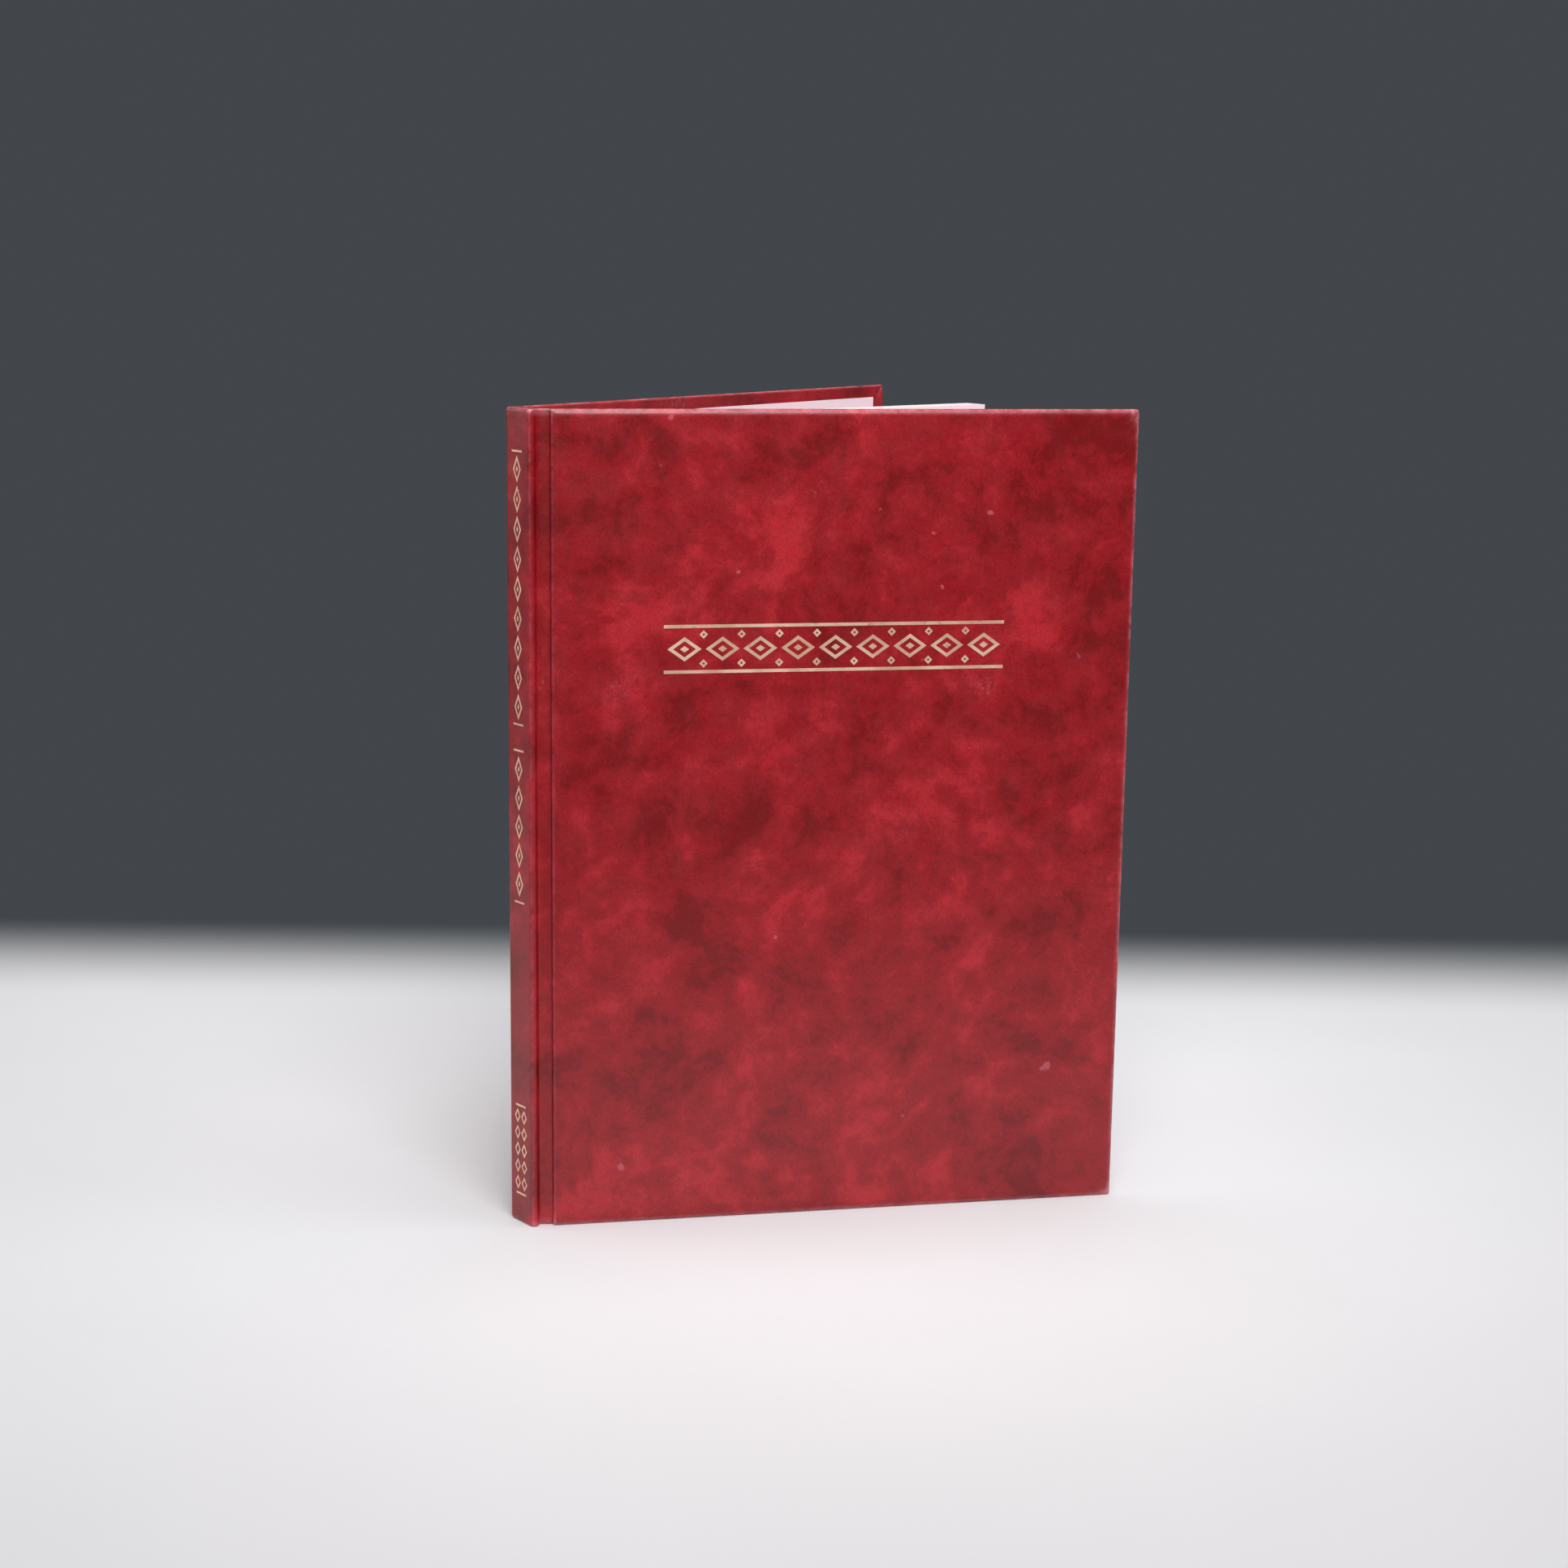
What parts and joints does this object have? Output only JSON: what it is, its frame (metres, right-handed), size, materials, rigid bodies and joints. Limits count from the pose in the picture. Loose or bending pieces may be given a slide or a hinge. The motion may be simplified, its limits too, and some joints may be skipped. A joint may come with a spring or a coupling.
{
  "type": "hardback book",
  "caption": "Case-bound hardback book in red leatherette, standing on its tail with both covers splayed on hinged cloth joints round a sewn block of pages.",
  "frame": {"origin": "foot of the spine panel, in the middle of its width and its thickness, on the surface the book stands on", "axes": "+X from the spine along the pages to the fore-edge, -Y towards the front cover, +Z from the tail up to the head"},
  "size_m": [0.1844, 0.1417, 0.252],
  "materials": {
    "pages": "matte",
    "endpaper": "matte",
    "cover_cloth": "satin",
    "greyboard": "matte",
    "mull": "matte",
    "kraft_paper": "matte",
    "band_thread": "satin",
    "gold_foil": "satin"
  },
  "bodies": {
    "book_block": {"text_block": "pages", "front_endpaper": "endpaper", "back_endpaper": "endpaper", "spine_mull": "mull", "spine_lining": "kraft_paper", "head_band": "band_thread", "tail_band": "band_thread", "spine_strip": "greyboard", "spine_cloth": "cover_cloth"},
    "front_cover": {"front_board": "greyboard", "front_cloth": "cover_cloth", "front_mull_flap": "mull", "front_pastedown": "endpaper"},
    "back_cover": {"back_board": "greyboard", "back_cloth": "cover_cloth", "back_mull_flap": "mull", "back_pastedown": "endpaper"}
  },
  "joints": [
    {"name": "front_cover_hinge", "type": "hinge", "parent": "book_block", "child": "front_cover", "pos_m": [0.0025, -0.00585, 0], "axis": [0, 0, -1], "range_deg": [-28, 152]},
    {"name": "back_cover_hinge", "type": "hinge", "parent": "book_block", "child": "back_cover", "pos_m": [0.0025, 0.00585, 0], "axis": [0, 0, 1], "range_deg": [-13, 167]}
  ]
}
